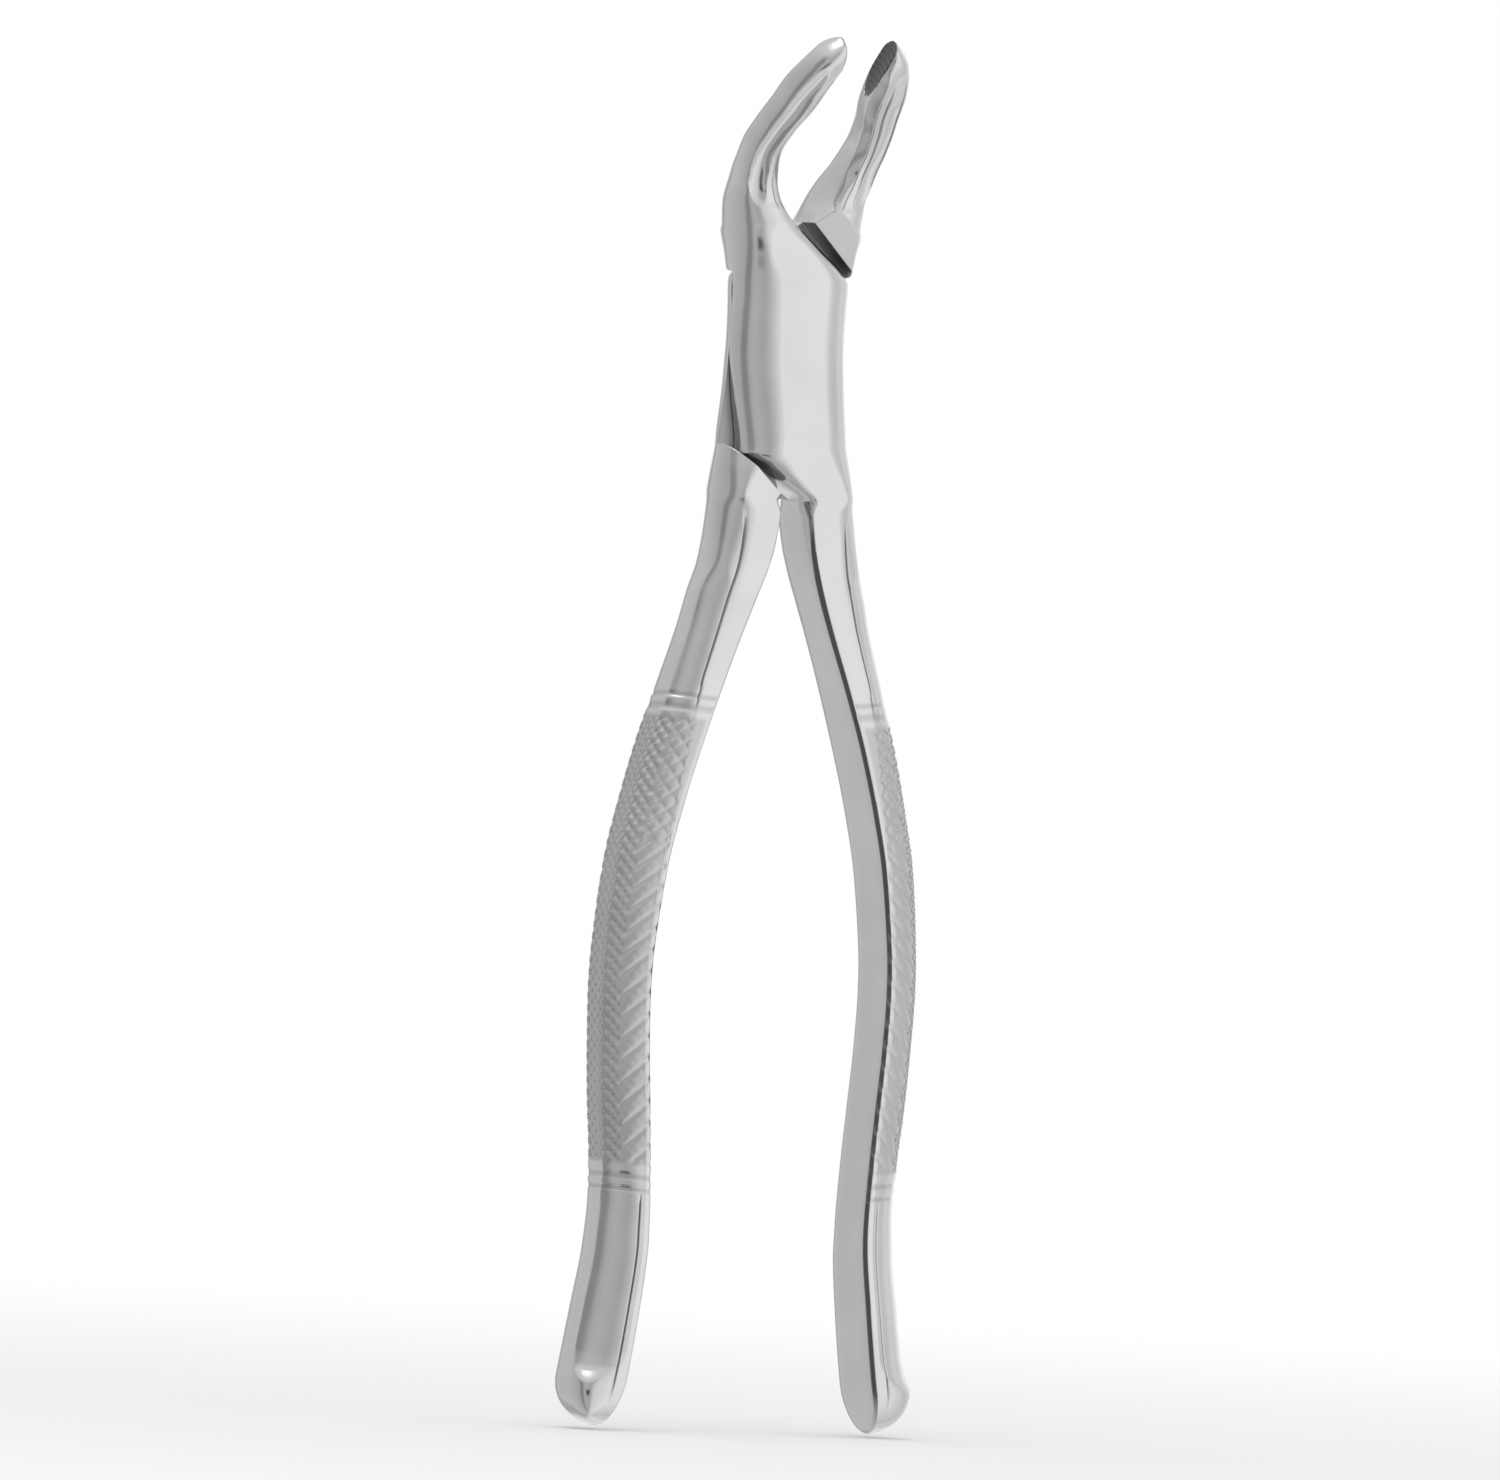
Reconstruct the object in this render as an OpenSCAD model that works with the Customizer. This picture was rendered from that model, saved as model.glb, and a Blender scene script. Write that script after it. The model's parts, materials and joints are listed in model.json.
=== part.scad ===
// Extraction forceps for lower teeth: two forged levers that cross in a lap joint, held by one shoulder screw.
// Z runs along the instrument with the beaks up, X is the direction in which it opens and Y is the pivot axis.
// The origin is on the pivot axis, at the flat rear face of the joint. The beaks lean forward, towards -Y.
// Each lever is a loft through sections. The front lever is described with the beaks closed, and the rear
// lever has the mirrored outline. Lengths are in millimetres and angles in degrees.

/* [Instrument] */
// Height of the beak tips above the pivot, beaks closed
beak_reach = 39.6; // [33:0.1:47.5]
// Depth of the handle ends below the pivot, beaks closed
handle_reach = 136.6; // [114:0.1:164]
// How far the beak tips lean forward of the joint's middle
beak_lean = 16.2; // [13.5:0.1:19.4]
// Angle between the two levers at rest
rest_opening = 9; // [0:0.5:40]

/* [Joint] */
// Width of the joint at the pivot
joint_width = 16.4; // [14.6:0.1:19.8]
// Thickness of the joint, both levers together
joint_depth = 10; // [8.5:0.1:12]
// Gap between the two lapped faces
lap_gap = 0.1; // [0.04:0.01:0.2]
// Gap between a lapped plate and the shoulder of the other lever
shoulder_gap = 0.3; // [0.2:0.05:0.5]
// Distance of the upper shoulders from the pivot
upper_shoulder = 13; // [12.6:0.1:13.6]
// Distance of the lower shoulders from the pivot
lower_shoulder = 14.6; // [13.8:0.1:15.4]
// How much is ground off the rear of the joint to make it flat
rear_grind = 0.5; // [0.42:0.02:0.6]

/* [Pivot screw] */
// Diameter of the screw's plain shoulder, which is the pivot
shoulder_d = 5; // [4:0.1:6]
// Radial running clearance of the shoulder in its bore
bore_clearance = 0.04; // [0.02:0.01:0.1]
// Diameter of the screw head
head_d = 7; // [5.8:0.1:7.2]
// Thickness of the screw head
head_t = 1.6; // [1.2:0.1:2]
// Radial gap around the screw head
head_gap = 0.1; // [0.05:0.01:0.2]
// Diameter of the thread
thread_d = 3.5; // [3:0.1:3.8]
// Length of thread in the front lever
thread_l = 3.2; // [2.6:0.1:3.6]
// Width of the driver slot
slot_w = 1; // [0.6:0.1:1.4]
// Depth of the driver slot
slot_t = 0.8; // [0.5:0.1:1]

/* [Beaks] */
// Thickness of a beak halfway up, in the opening direction
beak_width = 4.7; // [3.9:0.1:5.7]
// Depth of a beak halfway up, front to back
beak_depth = 4.5; // [3.7:0.1:5.4]
// Thickness of a beak's tip
tip_width = 1.4; // [1.1:0.1:1.7]
// Gap between the tips when the beaks are closed
tip_gap = 0.5; // [0.3:0.1:1]
// Greatest gap between the closed beaks
beak_bow = 6.4; // [5.3:0.1:7.7]
// Radius of the hollow ground into a beak's inner face
hollow_r = 3.2; // [2.6:0.1:4]
// Depth of that hollow
hollow_t = 0.5; // [0.3:0.05:0.6]

/* [Handles] */
// Thickness of a handle at the grip, in the opening direction
handle_width = 6; // [5:0.1:7.2]
// Depth of a handle at the grip, front to back
handle_depth = 7.8; // [6.5:0.1:9.4]
// How far the handles stand forward of the joint's middle
handle_forward = 1.2; // [0:0.1:1.5]
// Gap between the handles where they bow apart, beaks closed
handle_bow = 22.5; // [19:0.1:27]
// Gap between the handles where they come together again, beaks closed
handle_waist = 13.9; // [11.6:0.1:16.6]
// Length of the rounded handle end
end_round = 6; // [4:0.1:8]

/* [Hidden] */

steel = "#b9bbbe";
ring_points = 40;
tiny = 0.01;
reach = 400;

face_y = joint_depth / 2 - rear_grind;
upper_angle = 50;
lower_angle = 53;
bore_d = shoulder_d + 2 * bore_clearance;
counterbore_d = head_d + 2 * head_gap;
thread_chamfer = 0.4;
edge_chamfer = 0.25;

// Heights where the joint ends and the beaks and handles begin
root_z = 16.6;
foot_z = -18.4;

// Point on the upper or lower edge of the front plate at height z
function upper_edge(z) = (upper_shoulder - shoulder_gap / 2 - sin(upper_angle) * z) / cos(upper_angle);
function lower_edge(z) = -(lower_shoulder - shoulder_gap / 2 + sin(lower_angle) * z) / cos(lower_angle);

// A height along the beak or the handle, from 0 at the joint to 1 at the tip
function beak_z(u) = root_z + u * (beak_reach - root_z);
function handle_z(u) = foot_z - u * (handle_reach + foot_z);

// One section of a beak: height, lean, tilt, then how far its inner face stands from the middle plane,
// its thickness and its depth
function beak_row(u, lean, tilt, inner, width, depth, outer_p, inner_p) =
    [beak_z(u), -lean * beak_lean, tilt, -inner - width, -inner - width * 0.4, -inner, depth / 2, outer_p, inner_p];

// One section of a handle: height, distance of its flat inner face from the middle plane, thickness, depth
function handle_row(u, inner, width, depth, inner_p, outer_p, forward = handle_forward) =
    [handle_z(u), -forward, 0, inner, inner + width * 0.16, inner + width, depth / 2, inner_p, outer_p];

// One section of the joint: height, left edge, right edge, squareness of both sides, depth
function joint_row(z, left, right, p_left, p_right, depth, forward = 0) =
    [z, -forward * handle_forward, 0, left, (left + right) / 2, right, depth / 2, p_left, p_right];

half_w = joint_width / 2;

// Where the upper edge of the lapped plate meets its side, and how far from the pivot that corner turns
plate_corner = [half_w + 0.8, 8.6];
corner_r = norm(plate_corner);

bow = handle_bow / 2;
waist = handle_waist / 2;
gape = beak_bow / 2;

// Sections of the front lever, from the handle end to the beak tip. Columns: height, lean, tilt, left edge,
// middle, right edge, half depth, squareness of the left and of the right side
ROWS = concat(
    [
        handle_row(1.000, waist + 1.5, handle_width + 0.6, handle_depth + 0.8, 6.0, 2.8),
        handle_row(0.938, waist + 0.8, handle_width + 0.7, handle_depth + 0.8, 6.0, 2.8),
        handle_row(0.874, waist + 0.3, handle_width + 0.5, handle_depth + 0.7, 6.0, 2.8),
        handle_row(0.810, waist, handle_width + 0.2, handle_depth + 0.3, 6.0, 2.8),
        handle_row(0.780, waist + 0.2, handle_width, handle_depth, 6.0, 2.8),
        handle_row(0.716, waist + 1.1, handle_width - 0.2, handle_depth, 6.0, 2.8),
        handle_row(0.653, bow - 2.1, handle_width, handle_depth, 6.0, 2.8),
        handle_row(0.589, bow - 0.95, handle_width - 0.1, handle_depth, 6.0, 2.8),
        handle_row(0.526, bow - 0.15, handle_width - 0.1, handle_depth, 6.0, 2.8),
        handle_row(0.494, bow, handle_width - 0.1, handle_depth, 6.0, 2.8),
        handle_row(0.462, bow - 0.1, handle_width, handle_depth, 6.0, 2.8),
        handle_row(0.399, bow - 0.6, handle_width + 0.2, handle_depth, 6.0, 2.8),
        handle_row(0.335, bow * 0.84, handle_width + 0.3, handle_depth, 6.0, 2.8),
        handle_row(0.270, bow * 0.69, handle_width + 0.5, handle_depth, 6.0, 2.8),
        handle_row(0.205, bow * 0.505, handle_width + 0.6, handle_depth - 0.4, 5.5, 2.8),
        handle_row(0.140, bow * 0.31, handle_width + 1.0, handle_depth - 0.8, 5.0, 2.7),
        handle_row(0.107, bow * 0.225, handle_width + 1.3, handle_depth - 0.6, 4.6, 2.6),
        handle_row(0.074, bow * 0.145, half_w - 0.9, joint_depth - 2.2, 4.2, 2.5),
        handle_row(0.045, 1.1, half_w - 0.6, joint_depth - 1.6, 4.0, 2.4, handle_forward * 0.9),
        handle_row(0.015, 0.7, half_w - 0.3, joint_depth - 0.9, 3.8, 2.3, handle_forward * 0.7)
    ],
    [
        joint_row(foot_z, lower_edge(foot_z), half_w + 0.2, 3.6, 2.3, joint_depth - 0.8, 0.6),
        joint_row(-17.2, lower_edge(-17.2), half_w + 0.2, 3.2, 2.3, joint_depth - 0.6, 0.55),
        joint_row(-15.5, lower_edge(-15.5), half_w + 0.2, 3.0, 2.2, joint_depth - 0.4, 0.5),
        joint_row(-13.5, lower_edge(-13.5), half_w + 0.1, 2.5, 2.1, joint_depth - 0.2, 0.4),
        joint_row(-12.2, lower_edge(-12.2), half_w, 2.3, 2.1, joint_depth, 0.3),
        joint_row(-11, -half_w + 0.6, half_w, 2.2, 2.1, joint_depth, 0.2),
        joint_row(-5, -half_w + 0.2, half_w - 0.1, 2.1, 2.1, joint_depth, 0.1),
        joint_row(0, -half_w, half_w, 2.1, 2.1, joint_depth),
        joint_row(5, -half_w + 0.3, half_w + 0.4, 2.2, 2.1, joint_depth),
        joint_row(plate_corner[1], -half_w + 0.6, plate_corner[0], 2.3, 2.1, joint_depth),
        joint_row(10, -half_w + 0.6, upper_edge(10), 2.3, 2.3, joint_depth),
        joint_row(13, -half_w + 0.5, upper_edge(13), 2.4, 2.6, joint_depth),
        joint_row(16, -half_w + 0.2, upper_edge(16), 2.4, 3.0, joint_depth - 0.1)
    ],
    [
        beak_row(0.000, 0.000, 0, 0.0, half_w - 0.3, joint_depth - 0.3, 2.4, 3.2),
        beak_row(0.050, 0.002, 2, 0.9, half_w - 1.2, joint_depth - 0.8, 2.4, 3.4),
        beak_row(0.110, 0.012, 8, 1.6, half_w - 1.9, joint_depth - 1.4, 2.5, 3.8),
        beak_row(0.200, 0.055, 22, gape - 0.9, beak_width + 0.8, beak_depth + 2.6, 2.6, 4.0),
        beak_row(0.310, 0.145, 33, gape - 0.2, beak_width + 0.3, beak_depth + 1.2, 2.6, 4.0),
        beak_row(0.430, 0.260, 38, gape, beak_width + 0.1, beak_depth + 0.3, 2.7, 4.0),
        beak_row(0.550, 0.415, 41, gape - 0.7, beak_width + 0.3, beak_depth, 2.8, 4.0),
        beak_row(0.660, 0.560, 42, gape - 1.9, beak_width + 0.7, beak_depth, 2.8, 4.0),
        beak_row(0.760, 0.690, 43, tip_gap / 2 + 0.4, beak_width + 0.7, beak_depth, 2.8, 4.0),
        beak_row(0.860, 0.835, 44, tip_gap / 2, beak_width - 0.2, beak_depth - 0.2, 2.8, 4.0),
        beak_row(0.940, 0.935, 45, tip_gap / 2, tip_width + 1.6, beak_depth - 0.5, 2.7, 3.6),
        beak_row(1.000, 1.000, 46, tip_gap / 2, tip_width, beak_depth - 1.0, 2.6, 3.0)
    ]
);

// Slope of a column at row i that never overshoots its neighbours
function slope(rows, c, i) =
    i == 0 || i == len(rows) - 1 ? 0 :
    let(
        before = (rows[i][c] - rows[i - 1][c]) / (rows[i][0] - rows[i - 1][0]),
        after = (rows[i + 1][c] - rows[i][c]) / (rows[i + 1][0] - rows[i][0])
    )
    before * after <= 0 ? 0 : 2 * before * after / (before + after);

// The row just below height z
function row_below(rows, z, i = 0) = i >= len(rows) - 2 || z <= rows[i + 1][0] ? i : row_below(rows, z, i + 1);

// One column at height z, on a smooth curve through the rows
function blend_column(rows, c, i, t, step) =
    let(a = rows[i][c], b = rows[i + 1][c], da = slope(rows, c, i) * step, db = slope(rows, c, i + 1) * step)
    (2 * t * t * t - 3 * t * t + 1) * a + (t * t * t - 2 * t * t + t) * da
    + (3 * t * t - 2 * t * t * t) * b + (t * t * t - t * t) * db;

// All the columns at height z
function section(rows, z) =
    let(i = row_below(rows, z), step = rows[i + 1][0] - rows[i][0], t = (z - rows[i][0]) / step)
    [for (c = [0:len(rows[0]) - 1]) c == 0 ? z : blend_column(rows, c, i, t, step)];

// How much a section shrinks where the lever rounds off at either end
function end_scale(z) =
    let(
        low = (handle_reach + z) / end_round,
        tip_round = tip_width * 1.2,
        high = (beak_reach - z) / tip_round,
        u = min(1, min(low, high))
    )
    sqrt(max(tiny, 1 - (1 - u) * (1 - u)));

// Power that keeps its sign, for the rounded-square outline of a section
function keep_sign(v, power) = sign(v) * pow(abs(v), power);

// The ring of points of one section
function ring(row) =
    let(k = end_scale(row[0]), middle_y = row[1], tilt = row[2], half = row[6] * k)
    [
        for (i = [0:ring_points - 1])
            let(
                a = 360 * i / ring_points,
                p = cos(a) > 0 ? row[8] : row[7],
                side = cos(a) > 0 ? row[5] - row[4] : row[4] - row[3],
                x = row[4] + k * side * keep_sign(cos(a), 2 / p),
                v = half * keep_sign(sin(a), 2 / p)
            )
            [x, middle_y + v * cos(tilt), row[0] + v * sin(tilt)]
    ];

// Closed solid through a list of rings
module loft(rings) {
    n = len(rings[0]);
    last = len(rings) - 1;
    sides = [
        for (j = [0:last - 1], i = [0:n - 1])
            let(a = j * n + i, b = j * n + (i + 1) % n)
            each [[a, a + n, b], [b, a + n, b + n]]
    ];
    caps = [[for (i = [0:n - 1]) i], [for (i = [n - 1:-1:0]) last * n + i]];
    polyhedron(points = [for (r = rings) each r], faces = concat(sides, caps), convexity = 6);
}

// Heights of the sections, closer together where the outline turns quickly
HEIGHTS = concat(
    [for (k = [0:5]) -handle_reach + end_round * (1 - cos(k * 18))],
    [for (k = [1:30]) let(low = -handle_reach + end_round) low + k * (foot_z - low) / 31],
    [for (k = [0:8]) foot_z + k * (-10 - foot_z) / 8],
    [-7, -3.5, 0, 3.5, 6],
    [for (k = [0:9]) 7.2 + k * (root_z - 7.2) / 9],
    [for (k = [1:24]) root_z + k * (beak_reach - 1.6 - root_z) / 24],
    [for (k = [1:5]) beak_reach - 1.6 + 1.6 * sin(k * 18)]
);

// Outer shape of a lever before the joint is cut: the handle, the full joint and the beak
module lever_blank() {
    difference() {
        loft([for (z = HEIGHTS) ring(section(ROWS, z))]);
        translate([0, face_y + reach / 2, 0])
            cube(reach, center = true);
    }
}

// What is cut away to make room for the other lever: everything behind the lap face between the two shoulders,
// and the circle in which the other lever's corner turns
module lap_pocket() {
    rotate([90, 0, 0])
        translate([0, 0, -reach])
            linear_extrude(reach + lap_gap / 2) {
                intersection() {
                    rotate(180 - upper_angle)
                        translate([-reach / 2, -reach / 2])
                            square([reach / 2 + upper_shoulder + shoulder_gap / 2, reach]);
                    rotate(-lower_angle)
                        translate([-reach / 2, -reach / 2])
                            square([reach / 2 + lower_shoulder + shoulder_gap / 2, reach]);
                }
                circle(r = corner_r + shoulder_gap, $fn = 96);
            }
}

// The hollow ground into the inner face of the beak's working end, along the way it leans
module beak_hollow() {
    start_lean = 0.61 * beak_lean;
    start_z = beak_z(0.7);
    slant = atan2(beak_lean - start_lean, beak_reach - start_z);
    translate([hollow_r - tip_gap / 2 - hollow_t, -start_lean, start_z])
        rotate([slant, 0, 0])
            cylinder(r = hollow_r, h = beak_reach, $fn = 48);
}

// Places a lever drawn closed at its rest angle, and moves the rear face of the joint to the origin
module at_rest(side) {
    translate([0, -face_y, 0])
        rotate([0, side * rest_opening / 2, 0])
            children();
}

// Cylinder along Y from y = from to y = to
module pin(d, from, to) {
    translate([0, to, 0])
        rotate([90, 0, 0])
            cylinder(d = d, h = to - from, $fn = 48);
}

module front_lever() {
    color(steel)
        at_rest(-1)
            difference() {
                lever_blank();
                lap_pocket();
                beak_hollow();
                pin(thread_d, -lap_gap / 2 - thread_l, tiny);
            }
}

module rear_lever() {
    color(steel)
        at_rest(1)
            difference() {
                mirror([1, 0, 0])
                    lever_blank();
                mirror([1, 0, 0])
                    beak_hollow();
                mirror([0, 1, 0])
                    mirror([1, 0, 0])
                        lap_pocket();
                pin(bore_d, -tiny, joint_depth);
                pin(counterbore_d, face_y - head_t, joint_depth);
            }
}

module pivot_screw() {
    seat_y = face_y - head_t;
    end_y = -lap_gap / 2 - thread_l + 0.3;
    color(steel)
        translate([0, -face_y, 0])
            difference() {
                rotate([-90, 0, 0])
                    rotate_extrude($fn = 48)
                        polygon([
                            [0, end_y],
                            [thread_d / 2 - thread_chamfer, end_y],
                            [thread_d / 2, end_y + thread_chamfer],
                            [thread_d / 2, -lap_gap / 2],
                            [shoulder_d / 2, -lap_gap / 2],
                            [shoulder_d / 2, seat_y + tiny],
                            [head_d / 2, seat_y + tiny],
                            [head_d / 2, face_y - edge_chamfer],
                            [head_d / 2 - edge_chamfer, face_y],
                            [0, face_y]
                        ]);
                translate([0, face_y, 0])
                    cube([reach, 2 * slot_t, slot_w], center = true);
            }
}

front_lever();
rear_lever();
pivot_screw();
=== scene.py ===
import json
import math
from contextlib import contextmanager

import bmesh
import bpy
import numpy as np
from mathutils import Matrix, Vector


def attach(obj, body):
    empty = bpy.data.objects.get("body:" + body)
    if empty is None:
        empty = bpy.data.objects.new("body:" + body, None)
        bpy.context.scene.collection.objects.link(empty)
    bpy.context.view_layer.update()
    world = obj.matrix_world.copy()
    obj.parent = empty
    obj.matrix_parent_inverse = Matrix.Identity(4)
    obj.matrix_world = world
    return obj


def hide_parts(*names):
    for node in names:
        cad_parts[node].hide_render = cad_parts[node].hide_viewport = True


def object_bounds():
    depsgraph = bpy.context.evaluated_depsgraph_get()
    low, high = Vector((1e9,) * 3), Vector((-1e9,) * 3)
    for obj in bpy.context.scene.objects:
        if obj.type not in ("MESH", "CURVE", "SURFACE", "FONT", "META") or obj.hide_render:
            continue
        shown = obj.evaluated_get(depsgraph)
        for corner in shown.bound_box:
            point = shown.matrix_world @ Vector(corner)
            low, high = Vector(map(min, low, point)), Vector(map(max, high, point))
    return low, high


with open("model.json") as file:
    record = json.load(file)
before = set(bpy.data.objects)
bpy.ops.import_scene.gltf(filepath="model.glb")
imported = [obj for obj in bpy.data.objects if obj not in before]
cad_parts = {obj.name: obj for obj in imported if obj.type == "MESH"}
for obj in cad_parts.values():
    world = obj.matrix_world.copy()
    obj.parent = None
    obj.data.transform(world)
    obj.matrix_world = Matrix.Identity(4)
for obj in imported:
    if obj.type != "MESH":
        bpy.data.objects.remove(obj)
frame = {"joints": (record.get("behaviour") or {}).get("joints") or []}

# Extraction forceps. The levers are lofted through the same sections as the CAD's, but with the handles a little
# closer together just below the joint. The flutes, facets, knurling, collars and serrations are added, and the joint's
# pockets are cut. Shapes are worked out in millimetres in the CAD's drawn frame, with the beaks closed and the lap
# plane at y = 0. Then they are turned to the rest angle and scaled to metres.

CAD_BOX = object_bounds()

# ---------------------------------------------------------------- sizes, as in the CAD (mm, degrees)
BEAK_REACH, HANDLE_REACH, BEAK_LEAN, REST_OPENING = 39.6, 136.6, 16.2, 9.0
JOINT_WIDTH, JOINT_DEPTH, LAP_GAP, SHOULDER_GAP = 16.4, 10.0, 0.1, 0.3
UPPER_SHOULDER, LOWER_SHOULDER = 13.0, 14.6
UPPER_ANGLE, LOWER_ANGLE = math.radians(50), math.radians(53)
SHOULDER_D, BORE_CLEARANCE, HEAD_D, HEAD_T, HEAD_GAP = 5.0, 0.04, 7.0, 1.6, 0.1
THREAD_D, THREAD_L, SLOT_W, SLOT_T = 3.5, 3.2, 1.0, 0.8
BEAK_WIDTH, BEAK_DEPTH, TIP_WIDTH, TIP_GAP, BEAK_BOW = 4.7, 4.5, 1.4, 0.5, 6.4
HOLLOW_R, HOLLOW_T = 3.2, 0.5
HANDLE_WIDTH, HANDLE_DEPTH, HANDLE_FORWARD = 6.0, 7.8, 1.2
HANDLE_BOW, HANDLE_WAIST, END_ROUND = 22.5, 13.9, 6.0
ROOT_Z, FOOT_Z = 16.6, -18.4

joint = frame["joints"][0]
FACE_Y = -1000 * joint["pos_m"][1]
HALF_W, BOW, WAIST, GAPE = JOINT_WIDTH / 2, HANDLE_BOW / 2, HANDLE_WAIST / 2, BEAK_BOW / 2
PLATE_CORNER = (HALF_W + 0.8, 8.6)
CORNER_R = math.hypot(*PLATE_CORNER)

LAP = LAP_GAP / 2
MM = 0.001

# ---------------------------------------------------------------- sizes of the details (mm)
KNURL_TOP, KNURL_END, KNURL_DEPTH = -47.3, -103.6, 0.21
KNURL_REACH = (-104, -75, -55, -47), (8.2, 8.0, 6.9, 6.3)  # how far round it goes from the outside, by height
DIAMOND, OUTER_PITCH, LONG_PITCH = 2.15, 1.5, 2.7
LONG_FROM = -60.0, -66.0  # where the diamonds give way to long grooves
COLLARS = ((-44.4, 0.40), (-45.9, 0.62), (-105.2, 0.55), (-106.8, 0.42))  # height and half width of each groove
# COLLAR_SHADE is painted shade: how far the colour in the collar grooves is darkened
COLLAR_DEPTH, COLLAR_SHADE, COLLAR_REACH = 0.11, 0.4, 8.0
LINE_DEPTH, CORNER_CUT = 0.16, 0.09
REAR_SQUARE, FRONT_SQUARE = 4.6, 3.6  # how square the handle's outer corners are
INNER_CORNER = np.array([-0.80, -0.60])  # the way the handle's inner front corner faces
FRONT_GRIND = 0.09  # ground off the front of the joint, as a part of its half depth
SERRATION_PITCH, SERRATION_DEPTH = 0.9, 0.16
BEVEL_FROM, BEVEL_RUN = 2.9, 6.0  # where the bevel of an upper shoulder starts from the lap plane, and its length
FAR = 40  # beyond any face of the levers
CRISP = math.radians(30)  # edges sharper than this stay crisp


def upper_edge(z):
    return (UPPER_SHOULDER - SHOULDER_GAP / 2 - math.sin(UPPER_ANGLE) * z) / math.cos(UPPER_ANGLE)


def lower_edge(z):
    return -(LOWER_SHOULDER - SHOULDER_GAP / 2 + math.sin(LOWER_ANGLE) * z) / math.cos(LOWER_ANGLE)


def beak_z(u):
    return ROOT_Z + u * (BEAK_REACH - ROOT_Z)


def handle_z(u):
    return FOOT_Z - u * (HANDLE_REACH + FOOT_Z)


# Where the hollow of the beaks' working ends starts, and how far it leans forward
HOLLOW_LEAN, HOLLOW_Z = 0.61 * BEAK_LEAN, beak_z(0.7)
HOLLOW_SLANT = math.atan2(BEAK_LEAN - HOLLOW_LEAN, BEAK_REACH - HOLLOW_Z)
HOLLOW_X = HOLLOW_R - TIP_GAP / 2 - HOLLOW_T


# Each row: height, offset from the lap plane, tilt, inner or left side, middle, outer or right side, half depth, and
# how square the section is on its left and right
def beak_row(u, lean, tilt, inner, width, depth, outer_p, inner_p):
    return [beak_z(u), -lean * BEAK_LEAN, tilt, -inner - width, -inner - width * 0.4, -inner, depth / 2,
            outer_p, inner_p]


def handle_row(u, inner, width, depth, inner_p=6.0, outer_p=2.8, forward=HANDLE_FORWARD):
    return [handle_z(u), -forward, 0, inner, inner + width * 0.16, inner + width, depth / 2, inner_p, outer_p]


def joint_row(z, left, right, p_left, p_right, depth, forward=0.0):
    return [z, -forward * HANDLE_FORWARD, 0, left, (left + right) / 2, right, depth / 2, p_left, p_right]


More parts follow.
